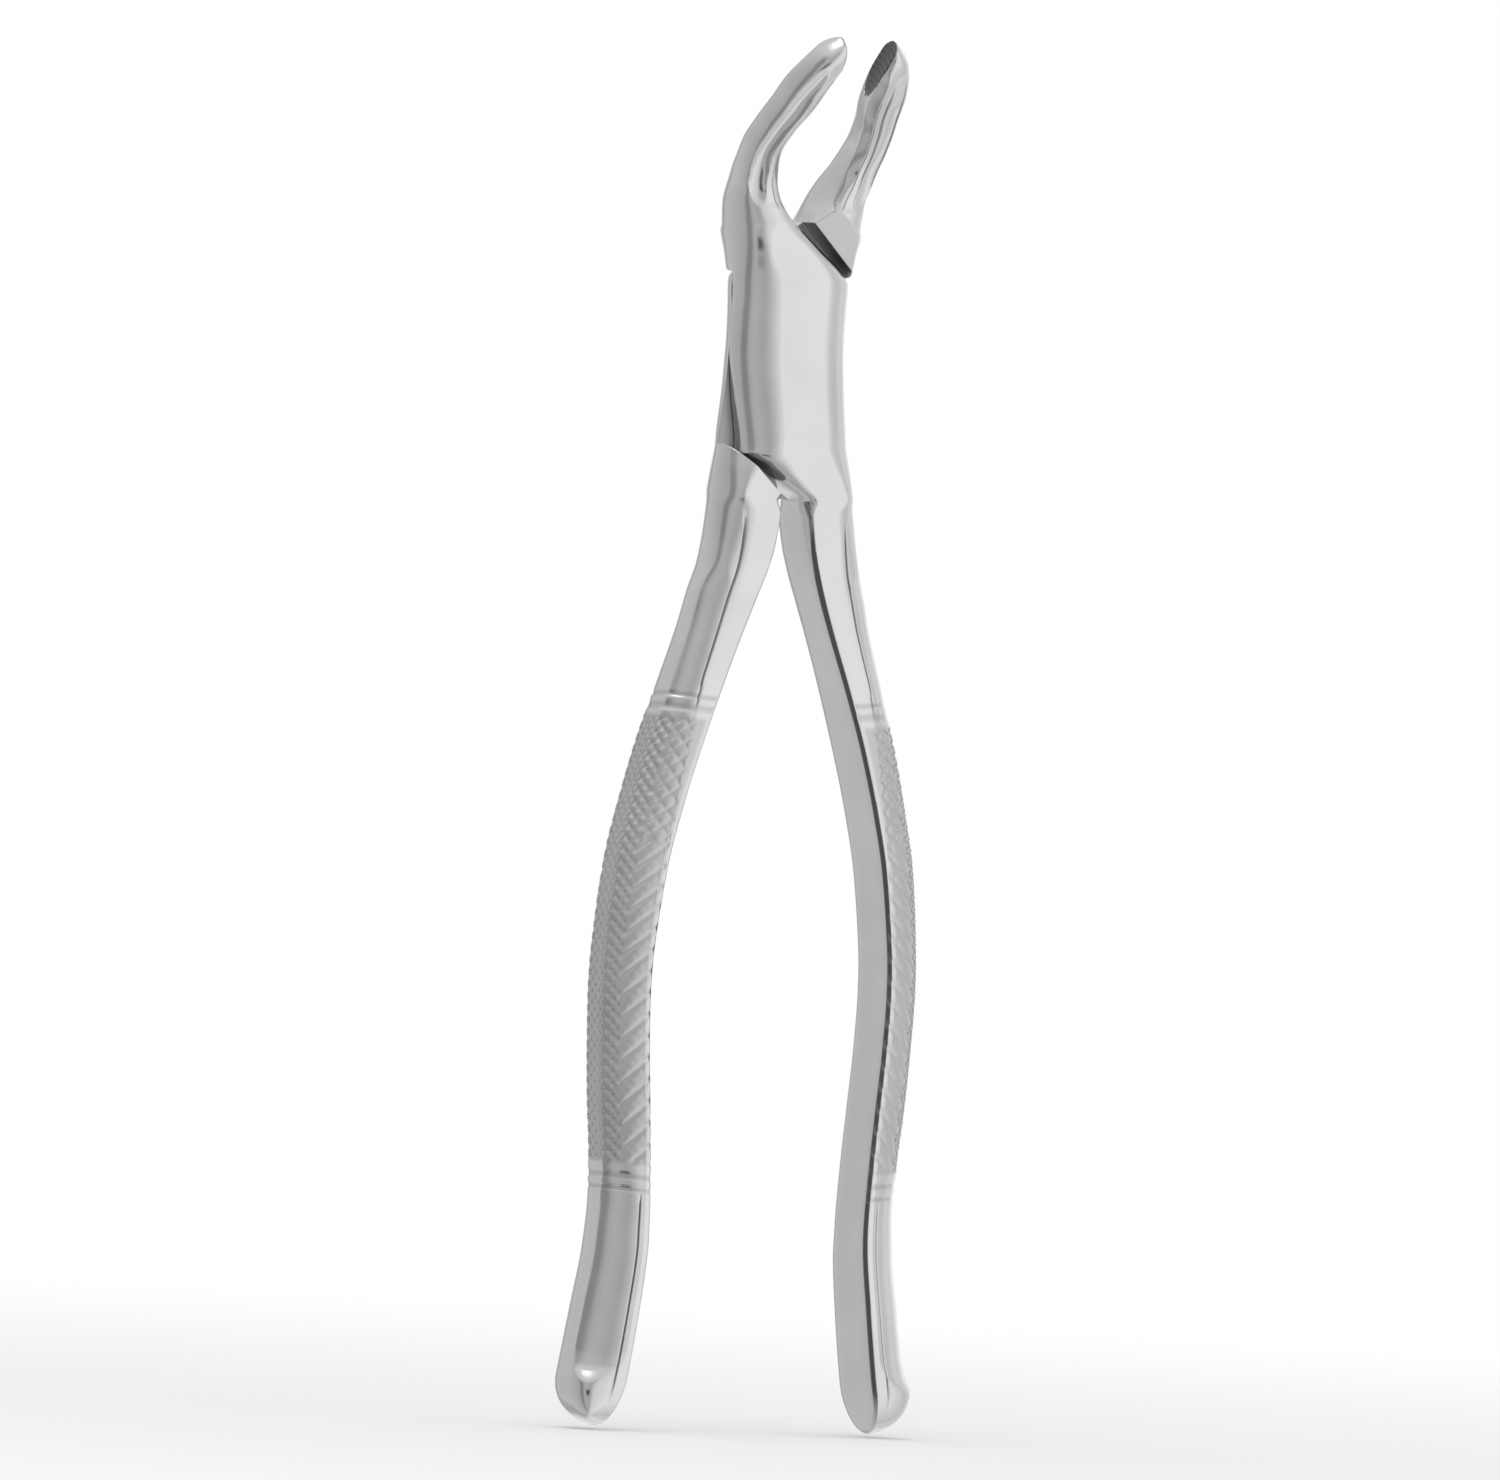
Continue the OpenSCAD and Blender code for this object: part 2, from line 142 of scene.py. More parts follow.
W, D, J = HANDLE_WIDTH, HANDLE_DEPTH, JOINT_DEPTH
ROWS = np.array([
    handle_row(1.000, WAIST + 1.5, W + 0.6, D + 0.8),
    handle_row(0.938, WAIST + 0.8, W + 0.7, D + 0.8),
    handle_row(0.874, WAIST + 0.3, W + 0.5, D + 0.7),
    handle_row(0.810, WAIST, W + 0.2, D + 0.3),
    handle_row(0.780, WAIST + 0.2, W, D),
    handle_row(0.716, WAIST + 1.1, W - 0.2, D),
    handle_row(0.653, BOW - 2.1, W, D),
    handle_row(0.589, BOW - 0.95, W - 0.1, D),
    handle_row(0.526, BOW - 0.15, W - 0.1, D),
    handle_row(0.494, BOW, W - 0.1, D),
    handle_row(0.462, BOW - 0.1, W, D),
    handle_row(0.399, BOW - 0.6, W + 0.2, D),
    handle_row(0.335, BOW * 0.84, W + 0.3, D),
    handle_row(0.270, BOW * 0.69, W + 0.5, D),
    handle_row(0.205, BOW * 0.505, W + 0.6, D - 0.4, 5.5),
    handle_row(0.140, BOW * 0.31 - 0.15, W + 1.15, D - 0.8, 5.0, 2.7),
    handle_row(0.107, BOW * 0.225 - 0.4, W + 1.7, D - 0.6, 4.6, 2.6),
    handle_row(0.074, BOW * 0.145 - 0.55, HALF_W - 0.35, J - 2.2, 4.2, 2.5),
    handle_row(0.045, 0.55, HALF_W - 0.05, J - 1.6, 4.0, 2.4, HANDLE_FORWARD * 0.9),
    handle_row(0.015, 0.45, HALF_W - 0.05, J - 0.9, 3.8, 2.3, HANDLE_FORWARD * 0.7),
    joint_row(FOOT_Z, lower_edge(FOOT_Z), HALF_W + 0.2, 3.6, 2.3, J - 0.8, 0.6),
    joint_row(-17.2, lower_edge(-17.2), HALF_W + 0.2, 3.2, 2.3, J - 0.6, 0.55),
    joint_row(-15.5, lower_edge(-15.5), HALF_W + 0.2, 3.0, 2.2, J - 0.4, 0.5),
    joint_row(-13.5, lower_edge(-13.5), HALF_W + 0.1, 2.5, 2.1, J - 0.2, 0.4),
    joint_row(-12.2, lower_edge(-12.2), HALF_W, 2.3, 2.1, J, 0.3),
    joint_row(-11, -HALF_W + 0.6, HALF_W, 2.2, 2.1, J, 0.2),
    joint_row(-5, -HALF_W + 0.2, HALF_W - 0.1, 2.1, 2.1, J, 0.1),
    joint_row(0, -HALF_W, HALF_W, 2.1, 2.1, J),
    joint_row(5, -HALF_W + 0.3, HALF_W + 0.4, 2.2, 2.1, J),
    joint_row(PLATE_CORNER[1], -HALF_W + 0.6, PLATE_CORNER[0], 2.3, 2.1, J),
    joint_row(10, -HALF_W + 0.6, upper_edge(10), 2.3, 2.3, J),
    joint_row(13, -HALF_W + 0.5, upper_edge(13), 2.4, 2.6, J),
    joint_row(16, -HALF_W + 0.2, upper_edge(16), 2.4, 3.0, J - 0.1),
    beak_row(0.000, 0.000, 0, 0.0, HALF_W - 0.3, J - 0.3, 2.4, 3.2),
    beak_row(0.050, 0.002, 2, 0.9, HALF_W - 1.2, J - 0.8, 2.4, 3.4),
    beak_row(0.110, 0.012, 8, 1.6, HALF_W - 1.9, J - 1.4, 2.5, 3.8),
    beak_row(0.200, 0.055, 22, GAPE - 0.9, BEAK_WIDTH + 0.8, BEAK_DEPTH + 2.6, 2.6, 4.0),
    beak_row(0.310, 0.145, 33, GAPE - 0.2, BEAK_WIDTH + 0.3, BEAK_DEPTH + 1.2, 2.6, 4.0),
    beak_row(0.430, 0.260, 38, GAPE, BEAK_WIDTH + 0.1, BEAK_DEPTH + 0.3, 2.7, 4.0),
    beak_row(0.550, 0.415, 41, GAPE - 0.7, BEAK_WIDTH + 0.3, BEAK_DEPTH, 2.8, 4.0),
    beak_row(0.660, 0.560, 42, GAPE - 1.9, BEAK_WIDTH + 0.7, BEAK_DEPTH, 2.8, 4.0),
    beak_row(0.760, 0.690, 43, TIP_GAP / 2 + 0.4, BEAK_WIDTH + 0.7, BEAK_DEPTH, 2.8, 4.0),
    beak_row(0.860, 0.835, 44, TIP_GAP / 2, BEAK_WIDTH - 0.2, BEAK_DEPTH - 0.2, 2.8, 4.0),
    beak_row(0.940, 0.935, 45, TIP_GAP / 2, TIP_WIDTH + 1.6, BEAK_DEPTH - 0.5, 2.7, 3.6),
    beak_row(1.000, 1.000, 46, TIP_GAP / 2, TIP_WIDTH, BEAK_DEPTH - 1.0, 2.6, 3.0),
], float)


def slopes(rows):
    """Slope of each column at each row, never overshooting its neighbours."""
    step = np.diff(rows[:, :1], axis=0)
    rise = np.diff(rows, axis=0) / step
    out = np.zeros_like(rows)
    before, after = rise[:-1], rise[1:]
    same = before * after > 0
    total = np.where(same, before + after, 1.0)
    out[1:-1] = np.where(same, 2 * before * after / total, 0.0)
    return out


SLOPES = slopes(ROWS)


def sections(z):
    """All columns of the table at heights z, on a smooth curve through the rows."""
    i = np.clip(np.searchsorted(ROWS[:, 0], z) - 1, 0, len(ROWS) - 2)
    step = (ROWS[i + 1, 0] - ROWS[i, 0])[:, None]
    t = (z[:, None] - ROWS[i, :1]) / step
    a, b, da, db = ROWS[i], ROWS[i + 1], SLOPES[i] * step, SLOPES[i + 1] * step
    out = ((2 * t**3 - 3 * t**2 + 1) * a + (t**3 - 2 * t**2 + t) * da
           + (3 * t**2 - 2 * t**3) * b + (t**3 - t**2) * db)
    out[:, 0] = z
    return out


def end_scale(z):
    low = (HANDLE_REACH + z) / END_ROUND
    high = (BEAK_REACH - z) / (TIP_WIDTH * 1.2)
    u = np.minimum(1, np.minimum(low, high))
    return np.sqrt(np.maximum(0.01, 1 - (1 - u) ** 2))


def smooth(v, a, b):
    """0 below a, 1 above b, smooth between (a may be the larger)."""
    t = np.clip((v - a) / (b - a), 0, 1)
    return t * t * (3 - 2 * t)


# ---------------------------------------------------------------- heights of the rings, denser where there is detail
def heights():
    low, high = -HANDLE_REACH + END_ROUND, BEAK_REACH - 1.6
    parts = [
        -HANDLE_REACH + END_ROUND * (1 - np.cos(np.linspace(0, math.pi / 2, 22))),
        np.linspace(low, -107.4, 44)[1:],
        np.linspace(-107.4, -104.2, 28)[1:],
        np.linspace(-104.2, -46.6, 232)[1:],
        np.linspace(-46.6, -43.4, 28)[1:],
        np.linspace(-43.4, FOOT_Z, 46)[1:],
        np.linspace(FOOT_Z, 8.6, 44)[1:],
        np.linspace(8.6, ROOT_Z, 24)[1:],
        np.linspace(ROOT_Z, high, 66)[1:],
        high + 1.6 * np.sin(np.linspace(0, math.pi / 2, 9))[1:],
    ]
    return np.concatenate(parts)


# Points of a ring in each stretch of its outline: right to rear, rear to left, left to front, front to right. The
# stretches of the front meet at its creases, so a crease always has a vertex
STRETCHES = ((42,), (30,), (16, 16), (10, 22, 14))
BREAK = sum(map(sum, STRETCHES[:3])) + STRETCHES[3][0]  # the vertex on the crease nearest the handle's inner edge
QUARTER = 401  # points in each quarter of an outline before they are spread


def within(i):
    """An index in a quarter, kept away from its ends."""
    return int(np.clip(i, 12, QUARTER - 13))


def crease(path, point):
    """Index of the place on a path that is nearest to a point, away from the path's ends."""
    return within(np.argmin(np.linalg.norm(path - np.array(point), axis=1)))


def spread(path, breaks, counts):
    """Points spread evenly along each stretch of a path."""
    arc = np.concatenate([[0], np.cumsum(np.linalg.norm(np.diff(path, axis=0), axis=1))])
    ends = [0.0] + [arc[i] for i in breaks] + [arc[-1]]
    where = np.concatenate([np.linspace(p, q, c + 1)[:-1] for p, q, c in zip(ends, ends[1:], counts)])
    return np.stack([np.interp(where, arc, path[:, 0]), np.interp(where, arc, path[:, 1])], 1)


def facet(points, a, b, sag, clear=0.0):
    """Planes a face from a to b. sag is how far its middle stands out of the straight line, or in when negative."""
    a, b = np.array(a), np.array(b)
    length = np.linalg.norm(b - a)
    t = (b - a) / length
    n = np.array([t[1], -t[0]])
    u, h = (points - a) @ t / length, (points - a) @ n
    if h[np.argmax(np.abs(h) * (u > 0) * (u < 1))] < 0:
        n, h = -n, -h
    cap = 4 * sag * u * (1 - u) + clear
    over = np.where((u > 0) & (u < 1) & (h > cap) & (h > -0.2), h - cap, 0)
    return points - over[:, None] * n


def quarters(row, scale, z):
    """The four quarters of the CAD's outline, with the handle's outer corners squarer."""
    left, mid, right, half, p_left, p_right = row[3:]
    squarer = smooth(z, -18.5, -38.0)
    powers = [p_right + (REAR_SQUARE - p_right) * squarer, p_left, p_left,
              p_right + (FRONT_SQUARE - p_right) * squarer]
    out = []
    for q, p in enumerate(powers):
        a = np.linspace(q * math.pi / 2, (q + 1) * math.pi / 2, QUARTER)
        side = right - mid if q in (0, 3) else mid - left
        c, s = np.cos(a), np.sin(a)
        c[[0, -1]] = np.round(c[[0, -1]])
        s[[0, -1]] = np.round(s[[0, -1]])
        x = mid + scale * side * np.sign(c) * np.abs(c) ** (2 / p)
        v = half * scale * np.sign(s) * np.abs(s) ** (2 / p)
        out.append(np.stack([x, v], 1))
    return out


def ring_outline(row, scale, z):
    """One ring, with the front ground flat at the joint and the creases of the handle and beak, and where its painted
    shade line goes.
    """
    left, mid, right, half = row[3:7]
    half = half * scale
    quads = quarters(row, scale, z)

    def place(fx, fv):
        return (mid + scale * (left + fx * (right - left) - mid), fv * half)

    flat = 1 - FRONT_GRIND * smooth(z, -34, -15) * smooth(z, 17, 12)
    for q in (2, 3):
        quads[q][:, 1] = np.maximum(quads[q][:, 1], -flat * half)
    bx, bv, ax, av, sag, clear = at(FRONT_CREASES, z)
    quads[3] = facet(quads[3], place(bx, bv), place(ax, av), sag, clear)
    b3, a3 = crease(quads[3], place(bx, bv)), crease(quads[3], place(ax, av))
    a3 = max(a3, b3 + 5)
    px, pv, sag, clear = at(LEFT_CREASE, z)
    if z > 15:
        quads[2] = facet(quads[2], place(px, pv), quads[2][-1], sag, clear)
    p2 = crease(quads[2], place(px, pv))
    reach = math.inf
    if z < -20:
        reach = (quads[2] @ INNER_CORNER).max() - CORNER_CUT * smooth(z, -20, -26)
        quads[2] = quads[2] - np.maximum(quads[2] @ INNER_CORNER - reach, 0)[:, None] * INNER_CORNER
        p2 = within(np.argmax(quads[2] @ INNER_CORNER > reach - 1e-4))
    ring = np.concatenate([spread(path, breaks, counts)
                           for path, breaks, counts in zip(quads, ([], [], [p2], [b3, a3]), STRETCHES)])
    return ring, (ring @ INNER_CORNER > reach - 1e-3).astype(float)


# Creases on the right half of the front: height, the inner and the outer crease as parts of width and of half depth,
# how far the face between them bulges, and how far it is from being touched
FRONT_CREASES = np.array([
    [-136.6, 0.24, -0.99, 1.00, -0.16, 0.60, 2.6],
    [-131.5, 0.22, -0.99, 1.00, -0.16, 0.55, 1.2],
    [-129.5, 0.21, -0.99, 1.00, -0.16, 0.55, 0.3],
    [-127.5, 0.21, -0.99, 1.00, -0.16, 0.55, 0.0],
    [-108.0, 0.21, -0.99, 1.00, -0.18, 0.55, 0.0],
    [-104.0, 0.20, -0.99, 1.00, -0.26, 0.50, 0.0],
    [-60.0, 0.22, -0.99, 1.00, -0.28, 0.50, 0.0],
    [-47.0, 0.45, -0.98, 1.00, -0.33, 0.40, 0.0],
    [-42.0, 0.55, -0.97, 1.00, -0.35, 0.30, 0.0],
    [-30.0, 0.60, -0.96, 1.00, -0.35, 0.30, 0.0],
    [-22.0, 0.66, -0.94, 1.00, -0.35, 0.40, 0.7],
    [-16.0, 0.80, -0.90, 1.00, -0.35, 0.60, 3.0],
    [14.0, 0.80, -0.90, 1.00, -0.35, 0.60, 3.0],
    [17.5, 0.74, -0.99, 1.00, -0.60, 0.10, 1.6],
    [21.0, 0.74, -0.99, 1.00, -0.60, 0.06, 0.6],
    [25.0, 0.74, -0.99, 1.00, -0.60, 0.05, 0.0],
    [36.0, 0.74, -0.99, 1.00, -0.60, 0.05, 0.0],
    [39.0, 0.74, -0.99, 1.00, -0.60, 0.10, 0.5],
])

# Crease on the left half of the front: height, place, then the hollow of the beak's flute that runs from it
LEFT_CREASE = np.array([
    [-136.6, 0.03, -0.97, 0.0, 3.0],
    [-21.0, 0.03, -0.97, 0.0, 3.0],
    [-16.0, 0.20, -0.90, 0.0, 3.0],
    [12.0, 0.20, -0.90, 0.0, 3.0],
    [17.5, 0.16, -0.74, -0.20, 1.2],
    [21.5, 0.14, -0.70, -0.34, 0.3],
    [25.0, 0.14, -0.66, -0.46, 0.0],
    [33.0, 0.14, -0.66, -0.44, 0.0],
    [36.5, 0.18, -0.70, -0.22, 0.2],
    [38.8, 0.24, -0.80, -0.05, 1.0],
])


def at(table, z):
    return [np.interp(z, table[:, 0], table[:, c]) for c in range(1, table.shape[1])]


def groove(phase, pitch, half_width):
    """1 in the middle of each groove, falling to 0 at half_width from it (mm across the groove)."""
    off = np.abs((phase / pitch) % 1.0 - 0.5) * pitch
    return np.clip(1 - (pitch / 2 - off) / half_width, 0, 1)


def knurl(z, front):
    """Depth of the knurling, by height and by distance round the ring from its outermost point."""
    toward = np.abs(front)
    reach = np.interp(z, *KNURL_REACH)
    shown = (smooth(z, KNURL_END - 0.3, KNURL_END + 0.5) * smooth(z, KNURL_TOP + 0.3, KNURL_TOP - 0.5)
             * smooth(toward, reach, reach - 0.35))
    lower = smooth(z, *LONG_FROM)
    on_front = smooth(toward, 3.0, 3.5)
    rising, falling = z - 0.95 * toward, z + 0.95 * toward
    diamonds = np.maximum(groove(rising, DIAMOND, 0.38), 0.75 * groove(falling, DIAMOND, 0.34))
    outer = np.maximum(groove(z - front, OUTER_PITCH, 0.34), groove(z + front, OUTER_PITCH, 0.34))
    long_ = np.maximum(groove(rising, LONG_PITCH, 0.62), 0.2 * groove(falling, LONG_PITCH * 0.6, 0.3))
    pattern = np.where(lower * on_front > 0.5, long_, np.where(on_front > 0.5, diamonds, outer))
    return KNURL_DEPTH * shown * pattern


def blank():
    """The lever before the joint is cut: points of every ring in the drawn frame, and how much painted shade each point
    gets on its lines and collar grooves.
    """
    z = heights()
    rows = sections(z)
    made = [ring_outline(row, scale, zj) for row, scale, zj in zip(rows, end_scale(z), z)]
    rings, painted_shade = np.array([m[0] for m in made]), np.array([m[1] for m in made])
    n = rings.shape[1]

    # outward normals and distance round each ring from its outermost point, towards the front
    ahead, behind = np.roll(rings, -1, 1), np.roll(rings, 1, 1)
    tangent = ahead - behind
    normal = np.stack([tangent[..., 1], -tangent[..., 0]], 2)
    normal /= np.maximum(np.linalg.norm(normal, axis=2, keepdims=True), 1e-9)
    step = np.linalg.norm(ahead - rings, axis=2)
    gone = np.concatenate([np.zeros((len(z), 1)), np.cumsum(step, 1)[:, :-1]], 1)
    front = np.where(np.arange(n) > n / 2, step.sum(1, keepdims=True) - gone, -gone)
    zz = z[:, None] + 0 * front

    depth = knurl(zz, front)
    side = smooth(np.abs(front), COLLAR_REACH + 0.3, COLLAR_REACH - 0.3)
    # shaded is painted shade in the collar grooves: their colour is darkened by COLLAR_SHADE
    shaded = 0 * depth
    for centre, width in COLLARS:
        ring = np.clip(1 - ((zz - centre) / width) ** 2, 0, 1) ** 0.7
        depth = np.maximum(depth, COLLAR_DEPTH * ring * side)
        shaded = np.maximum(shaded, COLLAR_SHADE * ring * side)
    ends = smooth(z, -19, -24) * smooth(z, -HANDLE_REACH + 2, -HANDLE_REACH + 7)
    plain = np.maximum(smooth(z, KNURL_TOP, KNURL_TOP + 3), smooth(z, KNURL_END - 3, KNURL_END - 5))
    # a groove is cut along the crease nearest the inner edge of the handles and beaks, and the same mask paints a shade
    # line on it
    line = np.maximum(ends * plain, 0.7 * smooth(z, 18, 20) * smooth(z, 35, 33))
    depth[:, BREAK] = np.maximum(depth[:, BREAK], LINE_DEPTH * line)
    # painted shade: the handles' inner front corner, the collar grooves and the crease line get darkened colour
    painted_shade = np.maximum(painted_shade * ends[:, None], shaded)
    painted_shade[:, BREAK] = np.maximum(painted_shade[:, BREAK], line)
    rings = rings - normal * depth[..., None]

    tilt = np.radians(rows[:, 2])[:, None]
    points = np.stack([rings[..., 0], rows[:, 1:2] + rings[..., 1] * np.cos(tilt),
                       zz + rings[..., 1] * np.sin(tilt)], 2)
    return points, painted_shade


def mesh_from(verts, faces, name):
    mesh = bpy.data.meshes.new(name)
    mesh.from_pydata([tuple(map(float, v)) for v in verts], [], faces)
    mesh.validate()
    mesh.update()
    return mesh


@contextmanager
def editing(mesh):
    bm = bmesh.new()
    bm.from_mesh(mesh)
    yield bm
    bm.to_mesh(mesh)
    bm.free()


def add(mesh):
    obj = bpy.data.objects.new(mesh.name, mesh)
    bpy.context.scene.collection.objects.link(obj)
    return obj


def tube(m, n):
    """Faces between m rings of n vertices."""
    return [(j * n + i, j * n + (i + 1) % n, (j + 1) * n + (i + 1) % n, (j + 1) * n + i)
            for j in range(m - 1) for i in range(n)]


def loft(points, name, flip=False):
    m, n = points.shape[:2]
    faces = tube(m, n)
    faces.append(tuple(range(n - 1, -1, -1)))
    faces.append(tuple((m - 1) * n + i for i in range(n)))
    if flip:
        faces = [f[::-1] for f in faces]
    return mesh_from(points.reshape(-1, 3), faces, name)


def prism(outline, y0, y1, name):
    """Solid over a polygon in x and z, counter-clockwise seen from -Y, from y0 to y1."""
    n = len(outline)
    verts = [(x, y0, z) for x, z in outline] + [(x, y1, z) for x, z in outline]
    faces = [tuple(range(n)), tuple(range(2 * n - 1, n - 1, -1))]
    faces += [(i + n, (i + 1) % n + n, (i + 1) % n, i) for i in range(n)]
    return mesh_from(verts, faces, name)


def circle(radius, n=128):
    return [(radius * math.cos(2 * math.pi * i / n), radius * math.sin(2 * math.pi * i / n)) for i in range(n)]


def clipped(size, limits):
    """Square of half side size, cut to the side of each line where p . e < d."""
    poly = [(-size, -size), (size, -size), (size, size), (-size, size)]
    for ex, ez, d in limits:
        out = []
        for p, q in zip(poly, poly[1:] + poly[:1]):
            fp, fq = p[0] * ex + p[1] * ez - d, q[0] * ex + q[1] * ez - d
            if fp <= 0:
                out.append(p)
            if fp * fq < 0:
                t = fp / (fp - fq)
                out.append((p[0] + t * (q[0] - p[0]), p[1] + t * (q[1] - p[1])))
        poly = out
    return poly


def outward(obj):
    with editing(obj.data) as bm:
        bmesh.ops.recalc_face_normals(bm, faces=bm.faces)


def cut(obj, mesh):
    tool = add(mesh)
    outward(tool)
    mod = obj.modifiers.new("cut", "BOOLEAN")
    mod.operation, mod.object, mod.solver = "DIFFERENCE", tool, "MANIFOLD"
    done = bpy.data.meshes.new_from_object(obj.evaluated_get(bpy.context.evaluated_depsgraph_get()))
    obj.modifiers.clear()
    old, obj.data = obj.data, done
    bpy.data.meshes.remove(old)
    bpy.data.objects.remove(tool)
    bpy.data.meshes.remove(mesh)


def serrated_hollow(side):
    """Cylinder that hollows the beak's working end, with ridges across it."""
    along = np.arange(0, 16, SERRATION_PITCH / 6)
    wave = np.abs((along / SERRATION_PITCH) % 1 - 0.5) * 2
    radius = HOLLOW_R + SERRATION_DEPTH * (wave - 0.5) * smooth(along, 0.5, 1.2)
    a = np.linspace(0, 2 * math.pi, 97)[:-1]
    x = HOLLOW_X + radius[:, None] * np.cos(a)
    v = radius[:, None] * np.sin(a)
    w = along[:, None] + 0 * v
    y = -HOLLOW_LEAN + v * math.cos(HOLLOW_SLANT) - w * math.sin(HOLLOW_SLANT)
    z = HOLLOW_Z + v * math.sin(HOLLOW_SLANT) + w * math.cos(HOLLOW_SLANT)
    return loft(np.stack([side * x, y, z], 2), "hollow")


def is_inner(face, side):
    """Whether a face is one of the joint's inner faces, which are ground and get painted shade."""
    c, n = face.calc_center_median(), face.normal
    if abs(abs(c.y) - LAP) < 0.01 and abs(n.y) > 0.98:
        return abs(c.z) < 19
    flat, across = np.array([c.x, c.z]), np.array([n.x, n.z])
    upper = np.array([-side * math.cos(UPPER_ANGLE), math.sin(UPPER_ANGLE)])
    lower = np.array([side * math.cos(LOWER_ANGLE), -math.sin(LOWER_ANGLE)])
    radius = math.hypot(*flat)
    on_wall = (
        (abs(flat @ upper - UPPER_SHOULDER - SHOULDER_GAP / 2) < 0.02 and abs(across @ upper) > 0.98)
        or (abs(flat @ lower - LOWER_SHOULDER - SHOULDER_GAP / 2) < 0.02 and abs(across @ lower) > 0.98)
        or (abs(radius - CORNER_R - SHOULDER_GAP) < 0.03 and abs(across @ flat) / radius > 0.98))
    return on_wall and abs(n.y) < 0.03 and abs(c.z) < 19


def is_hollow(face, side):
    """Whether a face is in the serrated hollow."""
    c = face.calc_center_median()
    dx, dy, dz = side * c.x - HOLLOW_X, c.y + HOLLOW_LEAN, c.z - HOLLOW_Z
    v = dy * math.cos(HOLLOW_SLANT) + dz * math.sin(HOLLOW_SLANT)
    w = -dy * math.sin(HOLLOW_SLANT) + dz * math.cos(HOLLOW_SLANT)
    return w > -0.05 and math.hypot(dx, v) < HOLLOW_R + 0.11 and dx < 0


def finish_lever(obj, side):
    """Marks the crisp edges, notes the knurled area, turns the lever to its rest angle and scales it to metres."""
    mesh = obj.data
    co = np.zeros(len(mesh.vertices) * 3)
    mesh.vertices.foreach_get("co", co)
    co = co.reshape(-1, 3)
    rows = sections(np.clip(co[:, 2], -HANDLE_REACH, BEAK_REACH))
    out = (side * co[:, 0] - rows[:, 3]) / (rows[:, 5] - rows[:, 3])
    knurled = (smooth(co[:, 2], KNURL_END - 0.4, KNURL_END + 0.2) * smooth(co[:, 2], KNURL_TOP + 0.4, KNURL_TOP - 0.2)
               * smooth(out, 0.10, 0.22))
    mark(mesh, "knurled", knurled)

    with editing(mesh) as bm:
        for e in bm.edges:
            if len(e.link_faces) == 2 and e.calc_face_angle(0) > CRISP:
                middle = (e.verts[0].co.z + e.verts[1].co.z) / 2
                inner = max(out[e.verts[0].index], out[e.verts[1].index]) < 0.12
                if inner or not KNURL_END - 3 < middle < KNURL_TOP + 4:
                    e.smooth = False
        for f in bm.faces:
            f.smooth = True
            # the serrated hollow and the joint's inner faces get steels with painted shade
            f.material_index = 2 if is_hollow(f, side) else 1 if is_inner(f, side) else 0

    t = -math.radians(side * REST_OPENING / 2)
    x = co[:, 0] * math.cos(t) + co[:, 2] * math.sin(t)
    z = -co[:, 0] * math.sin(t) + co[:, 2] * math.cos(t)
    mesh.vertices.foreach_set("co", (np.stack([x, co[:, 1] - FACE_Y, z], 1) * MM).ravel())
    mesh.update()


def shoulder_bevel(side):
    """Wedge that bevels the outer edge of an upper shoulder: the front lever's at the back, the rear's in front."""
    ex, ez = side * -math.cos(UPPER_ANGLE), math.sin(UPPER_ANGLE)
    start = UPPER_SHOULDER + SHOULDER_GAP / 2
    profile = [(-0.5, BEVEL_FROM - 0.25), (BEVEL_RUN, BEVEL_FROM + BEVEL_RUN / 2), (BEVEL_RUN, 12), (-0.5, 12)]
    verts = [(ex * (start + d) - t * ez, side * y, ez * (start + d) + t * ex) for t in (-14, 14) for d, y in profile]
    faces = [(0, 1, 2, 3), (7, 6, 5, 4)] + [(i + 4, (i + 1) % 4 + 4, (i + 1) % 4, i) for i in range(4)]
    return mesh_from(verts, faces, "bevel")


def mark(mesh, name, values):
    mesh.attributes.new(name, "FLOAT", "POINT").data.foreach_set("value", values.ravel().astype(np.float32))


def build_levers():
    points, painted_shade = blank()
    everywhere = [(-60, -200), (60, -200), (60, 60), (-60, 60)]
    band = clipped(60, [
        (-math.cos(UPPER_ANGLE), math.sin(UPPER_ANGLE), UPPER_SHOULDER + SHOULDER_GAP / 2),
        (math.cos(LOWER_ANGLE), -math.sin(LOWER_ANGLE), LOWER_SHOULDER + SHOULDER_GAP / 2),
    ])
    levers = []
    for name, side in (("front_lever_steel", 1), ("rear_lever_steel", -1)):
        lever = add(loft(points * np.array([side, 1, 1]), name, flip=side < 0))
        # the painted shade goes to the material as the line attribute
        mark(lever.data, "line", painted_shade)
        outward(lever)
        half = (-LAP, FAR) if side > 0 else (-FAR, LAP)  # the other lever's half of the lap joint
        cut(lever, prism(everywhere, FACE_Y, FAR, "grind"))
        cut(lever, prism([(side * x, z) for x, z in band], *half, "band"))
        cut(lever, prism(circle(CORNER_R + SHOULDER_GAP), *half, "corner_sweep"))
        cut(lever, serrated_hollow(side))
        cut(lever, shoulder_bevel(side))
        levers.append(lever)
    front, rear = levers
    cut(front, prism(circle(THREAD_D / 2, 64), -LAP - THREAD_L, 3, "thread_hole"))
    cut(rear, prism(circle(SHOULDER_D / 2 + BORE_CLEARANCE, 96), -5, FAR, "bore"))
    cut(rear, prism(circle(HEAD_D / 2 + HEAD_GAP), FACE_Y - HEAD_T, FAR, "counterbore"))
    finish_lever(front, 1)
    finish_lever(rear, -1)
    return front, rear


